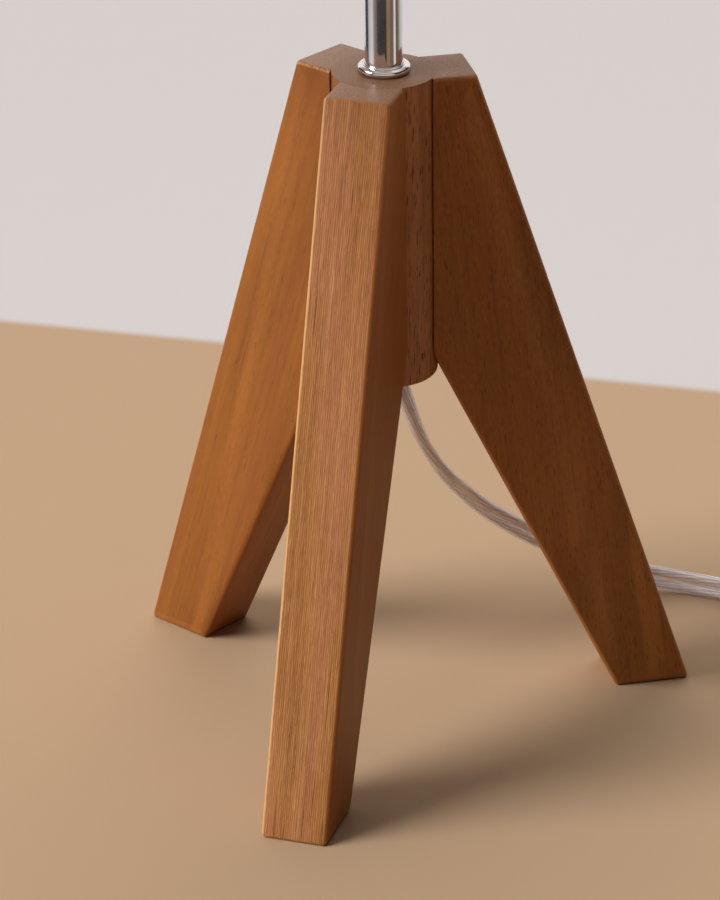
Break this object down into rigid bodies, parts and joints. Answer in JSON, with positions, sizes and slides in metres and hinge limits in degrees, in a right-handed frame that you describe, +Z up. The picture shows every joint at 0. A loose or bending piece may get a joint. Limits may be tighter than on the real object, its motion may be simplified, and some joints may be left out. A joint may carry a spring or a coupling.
{
  "type": "table lamp",
  "caption": "Table lamp on a wooden tripod of flat splayed legs round a turned hub, with a chromed stem, drum shade, screw-in bulb and a clear flat cord with a rocker switch and plug",
  "frame": {"origin": "on the stem's axis, on the table that the feet stand on", "axes": "+Z up along the stem, -Y along the front leg, +X toward the side that the cord leaves on"},
  "size_m": [0.3344, 0.2312, 0.416],
  "materials": {
    "leg_wood": "satin brown stain",
    "hub_wood": "satin brown stain",
    "dowel_wood": "raw",
    "chrome": "polished",
    "zinced_steel": "zinc plated",
    "white_plastic": "gloss",
    "plug_plastic": "fine texture",
    "clear_sheath": "clear",
    "ceramic": "unglazed",
    "brass": "plain",
    "coated_wire": "powder coated",
    "linen": "lined with a white film",
    "hem_tape": "folded tape",
    "frosted_glass": "frosted",
    "bulb_plastic": "matt",
    "nickelled_cap": "nickelled",
    "black_insulator": "matt"
  },
  "bodies": {
    "lamp": {"hub": "hub_wood", "leg_front": "leg_wood", "leg_right": "leg_wood", "leg_left": "leg_wood", "leg_dowels": "dowel_wood", "stem_tube": "chrome", "stem_collar": "chrome", "stem_washer": "zinced_steel", "stem_nut": "zinced_steel", "cord_bush": "white_plastic", "inner_cord": "clear_sheath", "holder_cap": "white_plastic", "grub_screw": "zinced_steel", "holder_shell": "white_plastic", "terminal_block": "ceramic", "terminals": "brass", "terminal_screws": "zinced_steel", "centre_contact": "brass", "screw_shell": "brass", "core_wires": "clear_sheath", "cord_lead": "clear_sheath", "cord_link": "clear_sheath", "cord_coil": "clear_sheath", "cord_tail": "clear_sheath", "switch_base": "white_plastic", "switch_cover": "white_plastic", "switch_contacts": "brass", "switch_screws": "zinced_steel", "plug_body": "plug_plastic", "plug_blades": "brass"},
    "rocker": {"switch_rocker": "white_plastic"},
    "clamp": {"clamp_ring": "white_plastic"},
    "shade": {"shade_carrier": "coated_wire", "shade_bottom_ring": "coated_wire", "shade_top_ring": "coated_wire", "shade_cloth": "linen", "hem_bottom": "hem_tape", "hem_top": "hem_tape"},
    "bulb": {"bulb_globe": "frosted_glass", "bulb_collar": "bulb_plastic", "bulb_cap": "nickelled_cap", "bulb_contact": "black_insulator"}
  },
  "joints": [
    {"name": "switch_rocker_tilt", "type": "hinge", "parent": "lamp", "child": "rocker", "pos_m": [0.1146, 0.07425, 0.0142], "axis": [0.1736, 0.9848, 0], "range_deg": [0, 14]},
    {"name": "clamp_ring_turn", "type": "hinge", "parent": "lamp", "child": "clamp", "pos_m": [0, 0, 0.275], "axis": [0, 0, 1], "continuous": true},
    {"name": "shade_turn", "type": "hinge", "parent": "lamp", "child": "shade", "pos_m": [0, 0, 0.2697], "axis": [0, 0, 1], "continuous": true},
    {"name": "bulb_unscrew", "type": "slide", "parent": "lamp", "child": "bulb", "axis": [0, 0, 1], "range_m": [0, 0.026]}
  ]
}
